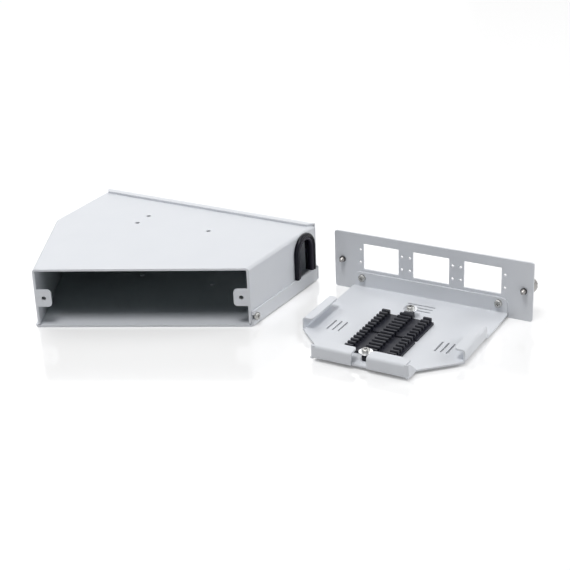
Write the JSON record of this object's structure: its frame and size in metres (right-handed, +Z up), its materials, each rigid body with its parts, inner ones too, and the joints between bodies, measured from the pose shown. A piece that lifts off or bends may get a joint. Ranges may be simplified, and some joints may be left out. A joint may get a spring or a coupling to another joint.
{
  "type": "fibre splice box",
  "caption": "Folded-steel fibre splice box for a DIN rail: slant-fronted casing with rubber-edged cable entry and rail clip, with its adapter panel and splice tray drawer pulled out beside it.",
  "frame": {"origin": "on the casing floor's underside, at the middle of the three-hole rail pattern", "axes": "+X along the casing's back wall towards the drawer, +Y towards the back wall and the rail, +Z up from the large face that the casing lies on"},
  "size_m": [0.348, 0.16, 0.045],
  "materials": {
    "light_grey_paint": "fine powder coat",
    "black_rubber": "slightly glossy",
    "black_plastic": "satin moulded",
    "zinc_plated_steel": "bright zinc",
    "spring_steel": "drawn wire",
    "blackened_steel": "blackened"
  },
  "bodies": {
    "casing": {"lower_shell": "light_grey_paint", "upper_shell": "light_grey_paint", "tab_nuts": "zinc_plated_steel", "shell_screws": "zinc_plated_steel", "shell_nuts": "zinc_plated_steel", "cable_grommet": "black_rubber", "rail_clip_channel": "zinc_plated_steel", "rail_clip_spacers": "zinc_plated_steel", "rail_clip_screws": "zinc_plated_steel", "latch_spring": "spring_steel"},
    "rail_latch": {"rail_latch": "zinc_plated_steel"},
    "drawer": {"front_panel": "light_grey_paint", "splice_tray": "light_grey_paint", "tray_screws": "zinc_plated_steel", "tray_nuts": "zinc_plated_steel", "splice_comb_far": "black_plastic", "splice_comb_near": "black_plastic", "comb_screws": "zinc_plated_steel", "comb_washers": "zinc_plated_steel", "comb_nuts": "zinc_plated_steel"},
    "thumbscrew_left": {"thumbscrew_left": "zinc_plated_steel", "retaining_ring_left": "blackened_steel"},
    "thumbscrew_right": {"thumbscrew_right": "zinc_plated_steel", "retaining_ring_right": "blackened_steel"}
  },
  "joints": [
    {"name": "drawer_slide", "type": "slide", "parent": "casing", "child": "drawer", "axis": [0, 1, 0], "range_m": [0, 0.11]},
    {"name": "thumbscrew_left_turn", "type": "hinge", "parent": "drawer", "child": "thumbscrew_left", "pos_m": [0.1153, 0.042, 0.0218], "axis": [0, 1, 0], "continuous": true},
    {"name": "thumbscrew_right_turn", "type": "hinge", "parent": "drawer", "child": "thumbscrew_right", "pos_m": [0.2507, 0.042, 0.0218], "axis": [0, 1, 0], "continuous": true},
    {"name": "rail_latch_slide", "type": "slide", "parent": "casing", "child": "rail_latch", "axis": [1, 0, 0], "range_m": [0, 0.004], "stiffness_N_per_m": 800, "springref_m": -0.004, "deforming": ["latch_spring"]}
  ]
}
